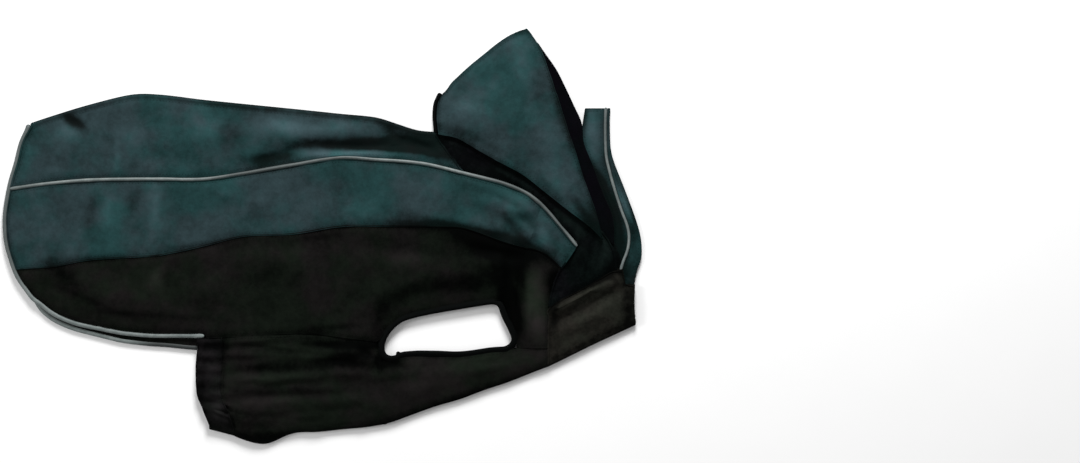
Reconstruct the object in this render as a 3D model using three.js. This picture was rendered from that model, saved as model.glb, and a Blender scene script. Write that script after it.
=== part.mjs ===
// Dog winter coat, lying flat on its left side with the right side up, the head end at +X
// and the back at +Y. Two layers of padded cloth lie on each other: the left half flat on the
// surface, the right half on top of it, joined round the folds at the back, belly and chest.
// All sizes are in mm. Tables give x from the rearmost point of the hem and y from the lowest
// point of the belly fold.
import * as THREE from 'three';

// Driving sizes
const CLOTH = 3; // padded shell with its fleece
const LINING = 1.5;
const SEAM = 0.3; // gap between two pieces at a seam
const FOLD_HEIGHT = 7; // both layers at a folded or open edge
const CROWN = 3; // how much higher the loose middle lies
const CROWN_REACH = 40; // from an edge to the full crown
const PIPING_WIDTH = 3;
const PIPING_PROUD = 0.8;
const HEM_WIDTH = 4.5;
const LEG_BINDING_WIDTH = 4;
const CASING_WIDTH = 24; // elastic casing at the rear of the belly panel
const HOOD_HEIGHT = 8.6; // upper half of the hood over its lining and lower half
const HOOD_CROWN = 3;
const HOOD_EDGE_DROP = 2.2; // the upper half comes down to the lower one at the seam
const HOOD_DROP_REACH = 10;
const HOOD_CROWN_REACH = 70;
const HOOD_BINDING_WIDTH = 4;
const NECK_OVERLAP = 4; // the hood's lower edge lies over the neck band
const NECK_ROLL = 16; // how far behind that edge the hood comes down again

const TEAL = { color: 0x26403f, roughness: 0.75, metalness: 0 };
const BLACK = { color: 0x171a17, roughness: 0.8, metalness: 0 };
const CHEST_BLACK = { color: 0x1e1b18, roughness: 0.85, metalness: 0 };
const LINING_BLACK = { color: 0x141116, roughness: 0.9, metalness: 0 };
const SILVER = { color: 0xa3a8a8, roughness: 0.4, metalness: 0.3 };

function table(names, ...rows) {
  return rows.map((row) => Object.fromEntries(names.map((name, i) => [name, row[i]])));
}

// Sections across the coat from the hem to the neck: the fold along the back, the piping and
// the join of the teal and black cloth.
const SECTIONS = table(
  ['x', 'back', 'piping', 'join'],
  [6, null, 254, 173],
  [26, 319, 257, 175],
  [50, 327, 260, 176.5],
  [86, 338, 263, 183],
  [131, 348.5, 264, 186],
  [158, 348, 264, 188],
  [201, 343, 264, 197],
  [240, 339, 269.5, 206.5],
  [290, 334, 278, 209],
  [338, 329, 285.5, 216.5],
  [375, 325, 283.5, 217],
  [400, 317, 282, 217],
  [418, 312, 280, 217],
  [434, 311, 277, 216],
  [458, null, 271, 215],
  [480, null, 265.5, 208.5],
  [500, null, 260.3, 201],
  [518, null, 253.3, 196],
  [530, null, 246.6, null],
  [542, null, 236, 189],
  [558, null, 217.3, 174],
  [574, null, 198, null],
);

// Rear edge of the hem, from the back fold down to where it turns forward.
const HEM_REAR = table(
  ['y', 'x'],
  [135, 36],
  [143, 29],
  [163, 14],
  [183, 6],
  [203, 1],
  [228, 0],
  [243, 2],
  [263, 6],
  [283, 12],
  [303, 17],
  [322, 27],
);

// Lower edge of the flank: the hem, the seam to the belly panel, round the leg opening, and
// the seam to the strap; under it the upper edge of the belly panel. drop is how much lower
// the left half of the coat lies there.
const LOWER_EDGE = table(
  ['x', 'flank', 'belly', 'drop'],
  [29, 143, null, 4],
  [38, 136, null, 5],
  [50, 127, null, 6],
  [74, 117, null, 6],
  [98, 112, null, 7],
  [122, 107.5, null, 8],
  [158, 105, null, 9],
  [194, 105, 104.5, 12],
  [201, 105, 104.5, 12],
  [206, 105.2, 104.8, 12],
  [240, 107, 106.7, 10],
  [300, 110, 109.7, 5],
  [350, 105, 104.7, 1],
  [371, 102.2, 101.9, 0],
  [373, 102, 101.6, 0],
  [376.4, 103, 95.5, 0],
  [379.8, 107.6, 84, 0],
  [386, 115.4, 81.6, 0],
  [394, 123, 83, 0],
  [410, 129.2, 86.8, 0],
  [434, 134.4, 87.2, 0],
  [458, 138.3, 86.5, 0],
  [482, 142.2, 89.7, 0],
  [496, 142.7, 91.4, 0],
  [504.2, 136, 92.6, 0],
  [514.5, 100.5, 94.2, 0],
  [517, 95.4, 95.1, 0],
  [547, 95.3, 95, 0],
);

// The opening for a front leg, all round.
const LEG_OPENING = table(
  ['x', 'y'],
  [382, 95],
  [386, 107.5],
  [398, 119.8],
  [412, 125],
  [434, 129.8],
  [458, 133.8],
  [482, 137.6],
  [494.3, 138],
  [499.5, 127],
  [509, 100],
  [484, 94.6],
  [458, 91.2],
  [434, 91.8],
  [412, 91.8],
  [398, 90],
  [387, 86],
);

// Rear edge of the belly panel and the fold along its middle, on to the tip of the chest.
const BELLY_REAR = table(
  ['y', 'x'],
  [0, 210],
  [14, 206],
  [23, 202.5],
  [33, 199],
  [43, 195],
  [63, 194],
  [110, 195],
);
const BELLY_FOLD = table(
  ['x', 'y'],
  [200, 15],
  [206, 14],
  [218, 11],
  [230, 8],
  [242, 2.5],
  [254, 0],
  [266, 0.8],
  [278, 6],
  [290, 10.5],
  [314, 11.5],
  [338, 14],
  [362, 16],
  [386, 20],
  [410, 28.5],
  [434, 37],
  [458, 44],
  [482, 53],
  [506, 61],
  [530, 70.5],
  [547, 77],
  [590, 98],
  [633, 118],
);

// The front end of the side and flank, and the chest panel's free edges.
const SIDE_FRONT = table(['y', 'x'], [172, 557], [185, 566], [198, 575]);
const FLANK_FRONT = table(['y', 'x'], [95, 546.3], [135, 546.3], [153, 550], [174, 557]);
const CHEST_TOP = table(
  ['x', 'y'],
  [547, 134],
  [558, 142.3],
  [578, 153],
  [598, 164.3],
  [611.6, 171.6],
  [619.4, 171.8],
  [622.4, 158.3],
  [632, 156.8],
);
const CHEST_FRONT = table(['y', 'x'], [118, 633], [137, 631.6], [157, 632]);

// The neck band lies between the piping and the hood, wider towards the chest.
const BACK_FRONT = table(['y', 'x'], [274.4, 458.6], [287, 448.6], [299, 439.7], [308, 433.8], [313, 430.6]);
const NECK_UPPER = table(
  ['x', 'y'],
  [434.6, 309],
  [447, 307],
  [458, 304],
  [469, 299.5],
  [480, 295.3],
  [500, 284.5],
  [520, 274],
  [530.3, 266.8],
  [550.4, 250.8],
  [570.6, 235],
  [581, 227.5],
  [592, 218.5],
  [603, 207.5],
  [609, 197.5],
  [612.4, 187],
  [613.4, 173.5],
);
const NECK_LOWER = table(
  ['x', 'y'],
  [434.6, 308.4],
  [440.6, 299],
  [449.5, 287],
  [460, 273.7],
  [484, 267.3],
  [518, 256.1],
  [530.5, 249.4],
  [543, 238.6],
  [561, 217.7],
  [577, 199],
  [566, 184.2],
  [557.3, 171.2],
  [550.6, 153],
  [547.8, 137],
);

// The hood: its short rear edge at the nape, the centre seam up to the peak, and the front
// edges of the upper (right) and lower (left) half. The lining shows between the two.
const HOOD_REAR = table(['x', 'y'], [432, 311], [430.5, 325], [431.5, 340], [436, 350]);
const HOOD_SEAM = table(
  ['x', 'y'],
  [436, 350],
  [446, 357],
  [458, 368],
  [470, 378.5],
  [482, 388],
  [494, 397.5],
  [506, 405.5],
  [516, 410.5],
  [525, 413],
);
const HOOD_FRONT_RIGHT = table(
  ['x', 'y'],
  [599.5, 214],
  [596, 223],
  [591, 237],
  [587.5, 248],
  [582, 263],
  [577, 277],
  [573, 292],
  [568, 305],
  [563, 323],
  [556, 342],
  [551, 359],
  [546, 373],
  [543, 384],
  [536, 397],
  [525, 413],
);
const HOOD_FRONT_LEFT = table(
  ['x', 'y'],
  [571.5, 335],
  [563, 353],
  [553, 373],
  [539, 393],
  [525, 413],
);

// The left half of the collar lies turned outward beyond the hood; its piping ends above the
// chest, and outside the piping the cloth turns under.
const COLLAR = table(
  ['y', 'rear', 'piping', 'front'],
  [334.5, 583.5, 604, 608],
  [325, 582, 603.5, 607.5],
  [314, 580.6, 603.3, 607.5],
  [303, 580.6, 603.5, 607.8],
  [294, 583.4, 603.8, 608.5],
  [285, 587.5, 604.6, 610.5],
  [275, 591.2, 606.8, 614],
  [263, 595.5, 610, 618.8],
  [247, 602, 614.8, 625],
  [231, 608.5, 620.2, 631],
  [219, 611.3, 624.8, 635],
  [207, 611, 627.2, 638.2],
  [193, 611.8, 625.8, 639.5],
  [183, 613.8, 622, 638.5],
  [173, 614.5, 618.8, 635],
  [159, null, 621.5, 632],
);
const COLLAR_PIPING_END = 173;
const COLLAR_EDGE_END = 159;

// Main folds: soft ridges (rise above 0) and troughs along a line.
const FOLDS = table(
  ['fromX', 'fromY', 'toX', 'toY', 'width', 'rise'],
  [270, 291, 425, 297, 9, -2],
  [328, 290.5, 440, 288, 5, 2],
  [56, 311, 82, 331, 6, -1.4],
  [98, 250, 90, 200, 8, 1.6],
  [126, 254, 118, 196, 8, -1.2],
  [158, 254, 164, 200, 9, 1.6],
  [210, 246, 222, 212, 9, 1.2],
  [484, 212, 532, 240, 7, 3.2],
  [476, 226, 518, 250, 6, -1.4],
  [500, 199, 556, 216, 6, 2.6],
  [150, 182, 158, 130, 8, 2.2],
  [250, 196, 330, 150, 12, 1.8],
  [360, 190, 480, 170, 12, 2],
  [516, 178, 520, 104, 6, -2],
  [534, 182, 535, 100, 6, 4],
  [498, 182, 500, 150, 6, 2.4],
);

// Gathers of the belly panel, from its elastic towards the leg opening.
const GATHERS = table(
  ['fromX', 'fromY', 'toX', 'toY', 'width', 'rise'],
  [226, 98, 330, 104, 4.5, 2.6],
  [226, 88, 352, 91, 4.5, 3.4],
  [226, 76, 372, 82, 4.5, 3],
  [226, 63, 356, 70, 5, 3.6],
  [226, 50, 330, 56, 5, 3],
  [226, 37, 350, 42, 5, 2.6],
  [228, 24, 310, 28, 5, 2.4],
  [372, 66, 500, 76, 6, 1.6],
);
const CASING_GATHERS = { count: 7, lowest: 22, highest: 100, width: 4, rise: 2.6 };
const CHEST_FOLDS = table(
  ['fromX', 'fromY', 'toX', 'toY', 'width', 'rise'],
  [551, 134, 610, 161, 4.5, 3.6],
  [552, 124, 612, 150, 4.5, -1.6],
  [572, 118, 620, 140, 7, 1.6],
);
const NECK_FOLDS = table(
  ['fromX', 'fromY', 'toX', 'toY', 'width', 'rise'],
  [566, 192, 560, 160, 5, 2.8],
  [584, 205, 578, 162, 5, 2.6],
  [600, 196, 600, 172, 4, 2.4],
);
const HOOD_FOLDS = table(
  ['fromX', 'fromY', 'toX', 'toY', 'width', 'rise'],
  [452, 336, 520, 318, 12, 1.2],
  [520, 400, 556, 300, 7, 1],
  [548, 262, 596, 214, 7, 1.6],
  [478, 366, 530, 352, 12, -1],
);

// A smooth curve through a table's rows. A stepped one never overshoots its rows.
function through(rows, from, to, stepped = false) {
  const known = rows.filter((row) => row[to] !== null);
  if (known[0][from] > known[known.length - 1][from]) known.reverse();
  const k = known.map((row) => row[from]);
  const f = known.map((row) => row[to]);
  const last = k.length - 1;
  const slope = k.slice(1).map((end, i) => (f[i + 1] - f[i]) / (end - k[i]));
  const tangent = f.map((_, i) => {
    const before = slope[Math.max(i - 1, 0)];
    const after = slope[Math.min(i, last - 1)];
    if (stepped) return before * after > 0 ? (2 * before * after) / (before + after) : 0;
    return i === 0 || i === last ? before : (f[i + 1] - f[i - 1]) / (k[i + 1] - k[i - 1]);
  });
  return (at) => {
    const found = k.findIndex((end) => at < end);
    const i = found < 0 ? last - 1 : Math.max(found - 1, 0);
    const width = k[i + 1] - k[i];
    const t = (at - k[i]) / width;
    if (t < 0) return f[0] + tangent[0] * (at - k[0]);
    if (t > 1) return f[last] + tangent[last] * (at - k[last]);
    const s = 1 - t;
    return (
      f[i] * s * s * (1 + 2 * t) +
      f[i + 1] * t * t * (1 + 2 * s) +
      width * s * t * (tangent[i] * s - tangent[i + 1] * t)
    );
  };
}

const backFold = through(SECTIONS, 'x', 'back');
const pipingLine = through(SECTIONS, 'x', 'piping');
const colourJoin = through(SECTIONS, 'x', 'join');
const hemRear = through(HEM_REAR, 'y', 'x');
const flankLow = through(LOWER_EDGE, 'x', 'flank', true);
const bellyTop = through(LOWER_EDGE, 'x', 'belly', true);
const leftDrop = through(LOWER_EDGE, 'x', 'drop', true);
const bellyRear = through(BELLY_REAR, 'y', 'x');
const bellyFold = through(BELLY_FOLD, 'x', 'y');
const sideFront = through(SIDE_FRONT, 'y', 'x');
const flankFront = through(FLANK_FRONT, 'y', 'x', true);
const chestTop = through(CHEST_TOP, 'x', 'y', true);
const chestFront = through(CHEST_FRONT, 'y', 'x');
const backFront = through(BACK_FRONT, 'y', 'x');
const collarRear = through(COLLAR, 'y', 'rear');
const collarPiping = through(COLLAR, 'y', 'piping');
const collarFront = through(COLLAR, 'y', 'front');

const mix = (a, b, t) => a + (b - a) * t;
const clamp01 = (t) => Math.min(Math.max(t, 0), 1);
const smooth = (t) => clamp01(t) ** 2 * (3 - 2 * clamp01(t));
const steps = (count) => Array.from({ length: count + 1 }, (_, i) => i / count);

// Columns of a panel from x0 to x1, as 0 to 1: the table's own rows, and between them no
// step longer than the given one. Neighbours that share a seam share its columns.
function columnsOf(rows, x0, x1, step) {
  const knots = [x0, ...rows.map((row) => row.x).filter((x) => x > x0 + 1 && x < x1 - 1), x1];
  const places = [x0];
  for (let i = 1; i < knots.length; i += 1) {
    const count = Math.ceil((knots[i] - knots[i - 1]) / step);
    for (let k = 1; k <= count; k += 1) places.push(mix(knots[i - 1], knots[i], k / count));
  }
  return places.map((x) => (x - x0) / (x1 - x0));
}

// Edges of a patch, as functions of 0 to 1.
const alongX = (line, x0, x1) => (t) => ({ x: mix(x0, x1, t), y: line(mix(x0, x1, t)) });
const alongY = (line, y0, y1) => (t) => ({ x: line(mix(y0, y1, t)), y: mix(y0, y1, t) });

function route(rows, closed = false) {
  const points = rows.map((row) => new THREE.Vector3(row.x, row.y, 0));
  const curve = new THREE.CatmullRomCurve3(points, closed, 'centripetal');
  return (t) => curve.getPointAt(clamp01(t));
}

// A patch between four edges: first and last run forward, rear and front run from the first
// to the last.
function patch({ first, last, rear, front }) {
  const corner = [first(0), first(1), last(0), last(1)];
  const at = (u, v, key) =>
    mix(first(u)[key], last(u)[key], v) +
    mix(rear(v)[key], front(v)[key], u) -
    mix(mix(corner[0][key], corner[1][key], u), mix(corner[2][key], corner[3][key], u), v);
  return (u, v) => ({ x: at(u, v, 'x'), y: at(u, v, 'y') });
}

function distanceToSegment(x, y, fromX, fromY, toX, toY) {
  const dx = toX - fromX;
  const dy = toY - fromY;
  const t = clamp01(((x - fromX) * dx + (y - fromY) * dy) / (dx * dx + dy * dy));
  return Math.hypot(x - fromX - t * dx, y - fromY - t * dy);
}

function distanceToLine(x, y, points) {
  let nearest = Infinity;
  for (let i = 1; i < points.length; i += 1) {
    const [a, b] = [points[i - 1], points[i]];
    nearest = Math.min(nearest, distanceToSegment(x, y, a.x, a.y, b.x, b.y));
  }
  return nearest;
}

function foldRise(x, y, folds) {
  return folds.reduce((sum, f) => {
    const away = distanceToSegment(x, y, f.fromX, f.fromY, f.toX, f.toY);
    return sum + f.rise * Math.exp(-((away / f.width) ** 2));
  }, 0);
}

// Outer height of the right half over the surface.
const sample = (edge, count) => steps(count).map(edge);
const bodyEdges = [
  sample(alongX(backFold, 26, 434), 30),
  sample(alongY(hemRear, 135, 320), 16),
  sample(alongX(flankLow, 30, 201), 14),
  sample(alongX(bellyFold, 206, 633), 40),
  sample(alongY(bellyRear, 14, 105), 6),
  sample(alongX(chestTop, 547, 632), 8),
  sample(route(NECK_UPPER), 16),
  sample(route(LEG_OPENING, true), 40),
];
const casingGathers = steps(CASING_GATHERS.count - 1).map((t) => {
  const y = mix(CASING_GATHERS.lowest, CASING_GATHERS.highest, t);
  const rear = bellyRear(y);
  const { width, rise } = CASING_GATHERS;
  return { fromX: rear, fromY: y, toX: rear + CASING_WIDTH, toY: y, width, rise };
});
const bodyFolds = [...FOLDS, ...GATHERS, ...casingGathers, ...CHEST_FOLDS, ...NECK_FOLDS];

function bodyHeight(x, y) {
  const away = Math.min(...bodyEdges.map((edge) => distanceToLine(x, y, edge)));
  const height = FOLD_HEIGHT + CROWN * smooth(away / CROWN_REACH) + foldRise(x, y, bodyFolds);
  return Math.max(height, 2 * CLOTH + 2 * SEAM);
}

const neckLine = sample(route(NECK_UPPER), 24);
const hoodSeamLine = sample(route(HOOD_SEAM), 20);
const hoodRearLine = sample(route(HOOD_REAR), 8);

function hoodHeight(x, y) {
  const seamAway = Math.min(
    distanceToLine(x, y, hoodSeamLine),
    distanceToLine(x, y, hoodRearLine),
  );
  const drop = HOOD_EDGE_DROP * (1 - smooth(seamAway / HOOD_DROP_REACH));
  const crown = HOOD_CROWN * smooth(seamAway / HOOD_CROWN_REACH);
  const lying = HOOD_HEIGHT + crown - drop + foldRise(x, y, HOOD_FOLDS);
  const overNeck = bodyHeight(x, y) + CLOTH + 2 * SEAM;
  const neckAway = distanceToLine(x, y, neckLine) - NECK_OVERLAP - 2;
  return Math.max(lying, mix(lying, overNeck, smooth(1 - neckAway / NECK_ROLL)));
}

const GRADIENT_STEP = 2.5;

// A point of an upper layer, with its normal.
function onTop(height, x, y) {
  const slopeX = (height(x + GRADIENT_STEP, y) - height(x - GRADIENT_STEP, y)) / (2 * GRADIENT_STEP);
  const slopeY = (height(x, y + GRADIENT_STEP) - height(x, y - GRADIENT_STEP)) / (2 * GRADIENT_STEP);
  const normal = new THREE.Vector3(-slopeX, -slopeY, 1).normalize();
  return { point: new THREE.Vector3(x, y, height(x, y)), normal };
}

// A point of the lower layer, flat on the surface.
function onFloor(x, y) {
  return { point: new THREE.Vector3(x, y, 0), normal: new THREE.Vector3(0, 0, -1) };
}

// The turn from the right half to the left one round a fold: side is +1 at the back, -1 at
// the belly and chest, and angle runs from 90 degrees on top to -90 degrees underneath.
const TURN_ANGLES = [60, 30, 0, -30, -60].map((degrees) => (degrees * Math.PI) / 180);

function roundFold(height, x, foldY, side, angle) {
  const radius = height(x, foldY - (side * FOLD_HEIGHT) / 2) / 2;
  const normal = new THREE.Vector3(0, side * Math.cos(angle), Math.sin(angle));
  const centre = new THREE.Vector3(x, foldY - side * radius, radius);
  return { point: centre.addScaledVector(normal, radius), normal };
}

function solid(name, look, positions, triangles) {
  let geometry = new THREE.BufferGeometry();
  geometry.setAttribute('position', new THREE.Float32BufferAttribute(positions, 3));
  const corner = (i) => new THREE.Vector3().fromArray(positions, 3 * i);
  let volume = 0;
  for (let i = 0; i < triangles.length; i += 3) {
    const [a, b, c] = triangles.slice(i, i + 3).map(corner);
    volume += a.dot(b.cross(c)) / 6;
  }
  const inward = volume < 0;
  geometry.setIndex(inward ? triangles.slice().reverse() : triangles);
  geometry.computeVertexNormals();
  const mesh = new THREE.Mesh(geometry, new THREE.MeshStandardMaterial(look));
  mesh.name = name;
  return mesh;
}

// A wall of cloth: rows of points with normals on its outer face, and the inner face
// behind them.
function wall(name, look, rows, thickness = CLOTH) {
  const across = rows[0].length;
  const count = rows.length * across;
  const outer = [];
  const inner = [];
  for (const { point, normal } of rows.flat()) {
    outer.push(...point.toArray());
    inner.push(...point.clone().addScaledVector(normal, -thickness).toArray());
  }
  const triangles = [];
  const quad = (a, b, c, d) => triangles.push(a, b, c, a, c, d);
  const at = (r, c) => r * across + c;
  for (let r = 0; r + 1 < rows.length; r += 1) {
    for (let c = 0; c + 1 < across; c += 1) {
      const [p, q, s, t] = [at(r, c), at(r, c + 1), at(r + 1, c + 1), at(r + 1, c)];
      quad(p, q, s, t);
      quad(p + count, t + count, s + count, q + count);
    }
  }
  const rim = [];
  for (let c = 0; c < across; c += 1) rim.push(at(0, c));
  for (let r = 1; r < rows.length; r += 1) rim.push(at(r, across - 1));
  for (let c = across - 2; c >= 0; c -= 1) rim.push(at(rows.length - 1, c));
  for (let r = rows.length - 2; r > 0; r -= 1) rim.push(at(r, 0));
  rim.forEach((p, i) => {
    const q = rim[(i + 1) % rim.length];
    quad(p, p + count, q + count, q);
  });
  return solid(name, look, [...outer, ...inner], triangles);
}

// A trim of oval section along a line of points with normals, open or closed.
function trim(name, look, line, width, height, { sides = 6, closed = false } = {}) {
  const positions = [];
  const triangles = [];
  const last = line.length - 1;
  line.forEach(({ point, normal }, i) => {
    const before = line[closed ? (i + last) % line.length : Math.max(i - 1, 0)].point;
    const after = line[closed ? (i + 1) % line.length : Math.min(i + 1, last)].point;
    const along = after.clone().sub(before).normalize();
    const side = along.clone().cross(normal).normalize();
    const up = side.clone().cross(along).normalize();
    for (let k = 0; k < sides; k += 1) {
      const angle = (2 * Math.PI * (k + 0.5)) / sides;
      const place = point
        .clone()
        .addScaledVector(side, (Math.cos(angle) * width) / 2)
        .addScaledVector(up, (Math.sin(angle) * height) / 2);
      positions.push(...place.toArray());
    }
  });
  const rings = closed ? line.length : last;
  for (let i = 0; i < rings; i += 1) {
    const next = ((i + 1) % line.length) * sides;
    for (let k = 0; k < sides; k += 1) {
      const [a, b] = [i * sides + k, i * sides + ((k + 1) % sides)];
      const [c, d] = [next + ((k + 1) % sides), next + k];
      triangles.push(a, b, c, a, c, d);
    }
  }
  if (!closed) {
    for (let k = 1; k + 1 < sides; k += 1) {
      triangles.push(0, k + 1, k);
      triangles.push(last * sides, last * sides + k, last * sides + k + 1);
    }
  }
  return solid(name, look, positions, triangles);
}

const topRows = (place, height, columns, rows) =>
  rows.map((v) => columns.map((u) => onTop(height, place(u, v).x, place(u, v).y)));
const floorRows = (place, columns, rows) =>
  rows.map((v) => columns.map((u) => onFloor(place(u, v).x, place(u, v).y)));

// A panel folded along the middle: the right half, the turn and the left half. rightPlace
// and leftPlace end at the turn, which is v = 1 for both.
function foldedPanel(name, look, { right, left, fold, side, columns, rightRows, leftRows }) {
  const rows = [
    ...topRows(right, bodyHeight, columns, rightRows),
    ...TURN_ANGLES.map((angle) =>
      columns.map((u) => {
        const x = right(u, 1).x;
        return roundFold(bodyHeight, x, fold(x), side, angle);
      }),
    ),
    ...floorRows(left, columns, leftRows.slice().reverse()),
  ];
  return wall(name, look, rows);
}

const LINE_STEP = 1;

// The line at a distance beside another one, measured square to it.
const shifted = (line, distance) => (at) => {
  const slope = (line(at + LINE_STEP) - line(at - LINE_STEP)) / (2 * LINE_STEP);
  return line(at) + distance * Math.hypot(1, slope);
};
const HALF_PIPING = PIPING_WIDTH / 2 + 1.5 * SEAM;
const HEM_INSET = HEM_WIDTH + SEAM; // panels end here, and the hem trim fills the rest
const turnLine = (fold, side) => (x) => {
  const radius = bodyHeight(x, fold(x) - (side * FOLD_HEIGHT) / 2) / 2;
  return fold(x) - side * radius;
};
const hemInset = shifted(hemRear, HEM_INSET);

// The back panel, from the piping over the back to the other piping.
function backPanel() {
  const low = shifted(pipingLine, HALF_PIPING);
  const high = turnLine(backFold, 1);
  const rearLow = hemInset(258);
  const rearHigh = hemInset(316);
  const frontLow = backFront(271) - SEAM;
  const frontHigh = backFront(310) - SEAM;
  const place = patch({
    first: alongX(low, rearLow, frontLow),
    last: alongX(high, rearHigh, frontHigh),
    rear: alongY(hemInset, low(rearLow), high(rearHigh)),
    front: alongY((y) => backFront(y) - SEAM, low(frontLow), high(frontHigh)),
  });
  return foldedPanel('back_panel', TEAL, {
    right: place,
    left: place,
    fold: backFold,
    side: 1,
    columns: steps(28),
    rightRows: [0, 0.12, 0.26, 0.42, 0.6, 0.76, 0.9, 1],
    leftRows: [0, 0.5, 1],
  });
}

// The teal side under the piping.
const HEM_END = 201; // the hem meets the belly panel just after this
const JOIN_GAP = 0.6 * SEAM; // on each side of the join
const JOIN_REAR = hemInset(173.5);
const JOIN_FRONT = 556.4;
const FLANK_REAR = 40;
const FLANK_END = 546;
const COLUMN_STEP = 17;
const flankColumns = columnsOf(LOWER_EDGE, FLANK_REAR, FLANK_END, COLUMN_STEP);

function sidePlace() {
  const low = shifted(colourJoin, JOIN_GAP);
  const high = shifted(pipingLine, -HALF_PIPING);
  const rearHigh = hemInset(252);
  const front = (y) => sideFront(y) - SEAM;
  const frontHigh = front(196);
  return patch({
    first: alongX(low, JOIN_REAR, JOIN_FRONT),
    last: alongX(high, rearHigh, frontHigh),
    rear: alongY(hemInset, low(JOIN_REAR), high(rearHigh)),
    front: alongY(front, low(JOIN_FRONT), high(frontHigh)),
  });
}

// The black flank round the top of the leg opening.
function flankPlace(lowered) {
  const low = (x) => {
    const hemPart = 1 - smooth((x - HEM_END) / 5);
    const inset = HEM_INSET + (lowered ? 2 * SEAM : SEAM);
    const edge = mix(flankLow(x), shifted(flankLow, inset)(x), hemPart);
    return edge - (lowered ? leftDrop(x) : 0);
  };
  const high = shifted(colourJoin, -JOIN_GAP);
  const front = (y) => flankFront(y) - SEAM;
  return patch({
    first: alongX(low, FLANK_REAR, FLANK_END),
    last: alongX(high, JOIN_REAR, JOIN_FRONT),
    rear: route([
      { x: FLANK_REAR, y: low(FLANK_REAR) },
      { x: hemInset(148) + 2 * SEAM, y: 148 },
      { x: hemInset(160) + SEAM, y: 160 },
      { x: JOIN_REAR, y: high(JOIN_REAR) },
    ]),
    front: alongY(front, low(FLANK_END), high(JOIN_FRONT)),
  });
}

// The belly panel wraps the fold at the bottom. Its rear edge is an elastic casing.
const casingFront = (y) => bellyRear(y) + CASING_WIDTH;
const BELLY_SIDE_TOP = 104.5;
const flankPlaces = flankColumns.map((u) => mix(FLANK_REAR, FLANK_END, u));

function bellyPlace(lowered, rearEdge, frontEdge) {
  const seam = (x) => bellyTop(x) - (lowered ? leftDrop(x) : 0);
  const turn = turnLine(bellyFold, -1);
  const ends = (edge) => ({ top: edge(BELLY_SIDE_TOP), low: edge(10) });
  const [rear, front] = [ends(rearEdge), ends(frontEdge)];
  const between = (edge, { top, low }) => (t) => {
    const y = mix(seam(top), turn(low), t);
    return { x: mix(mix(top, low, t), edge(y), Math.sin(Math.PI * t)), y };
  };
  return patch({
    first: alongX(seam, rear.top, front.top),
    last: alongX(turn, rear.low, front.low),
    rear: between(rearEdge, rear),
    front: between(frontEdge, front),
  });
}

function bellyPiece(name, rearEdge, frontEdge, rightRows) {
  const [start, end] = [rearEdge(BELLY_SIDE_TOP), frontEdge(BELLY_SIDE_TOP)];
  const inside = flankPlaces.filter((x) => x > start + 1 && x < end - 1);
  const columns = [start, ...inside, end].map((x) => (x - start) / (end - start));
  return foldedPanel(name, BLACK, {
    right: bellyPlace(false, rearEdge, frontEdge),
    left: bellyPlace(true, rearEdge, frontEdge),
    fold: bellyFold,
    side: -1,
    columns,
    rightRows: steps(rightRows),
    leftRows: [0, 0.5, 1],
  });
}

const bellyPanel = () =>
  bellyPiece('belly_panel', (y) => casingFront(y) + 2 * SEAM, () => FLANK_END, 17);
const bellyElastic = () => bellyPiece('belly_elastic', bellyRear, casingFront, 20);

// The chest panel, folded like the belly panel, with the free edge of the neckline on top.
const CHEST_REAR = FLANK_END + 2 * SEAM;
const CHEST_END = 631;

function chestPanel() {
  const turn = turnLine(bellyFold, -1);
  const rearTop = chestTop(CHEST_REAR);
  const place = patch({
    first: alongX(chestTop, CHEST_REAR, CHEST_END),
    last: alongX(turn, CHEST_REAR, CHEST_END + 1),
    rear: (t) => ({ x: CHEST_REAR, y: mix(rearTop, turn(CHEST_REAR), t) }),
    front: alongY(chestFront, chestTop(CHEST_END), turn(CHEST_END + 1)),
  });
  return foldedPanel('chest_panel', CHEST_BLACK, {
    right: place,
    left: place,
    fold: bellyFold,
    side: -1,
    columns: [0, 0.12, 0.24, 0.36, 0.48, 0.6, 0.7, 0.77, 0.862, 0.9, 1],
    rightRows: steps(9),
    leftRows: [0, 0.5, 1],
  });
}

// Moves an edge sideways, to the left of its direction.
const beside = (edge, distance) => (t) => {
  const [a, b] = [edge(clamp01(t - 0.01)), edge(clamp01(t + 0.01))];
  const length = Math.hypot(b.x - a.x, b.y - a.y);
  const at = edge(t);
  return {
    x: at.x - ((b.y - a.y) / length) * distance,
    y: at.y + ((b.x - a.x) / length) * distance,
  };
};
const straight = (from, to) => (t) => ({ x: mix(from.x, to.x, t), y: mix(from.y, to.y, t) });

function spanned(first, last) {
  return patch({
    first,
    last,
    rear: straight(first(0), last(0)),
    front: straight(first(1), last(1)),
  });
}

// The black band between the piping and the hood, down to the neckline of the chest.
const neckUpper = route(NECK_UPPER);
const neckPlace = spanned(route(NECK_LOWER), beside(neckUpper, -SEAM));

// The hood's two halves meet at the seam along its back edge, and its short rear edge is
// bound.
const hoodRear = route(HOOD_REAR);
const hoodSeam = route(HOOD_SEAM);
const hoodRearInset = beside(hoodRear, -HOOD_BINDING_WIDTH - SEAM);

function hoodPlace(lowEdge, frontRows) {
  const last = (t) => {
    const at = hoodSeam(t);
    const inset = hoodRearInset(1);
    const shift = 1 - smooth(t * 6);
    return { x: at.x + (inset.x - hoodSeam(0).x) * shift, y: at.y + (inset.y - hoodSeam(0).y) * shift };
  };
  const start = lowEdge(0);
  return patch({
    first: lowEdge,
    last,
    rear: (t) => {
      const at = hoodRearInset(t);
      const shift = 1 - t;
      return {
        x: at.x + (start.x - hoodRearInset(0).x) * shift,
        y: at.y + (start.y - hoodRearInset(0).y) * shift,
      };
    },
    front: route([lowEdge(1), ...frontRows]),
  });
}

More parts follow.
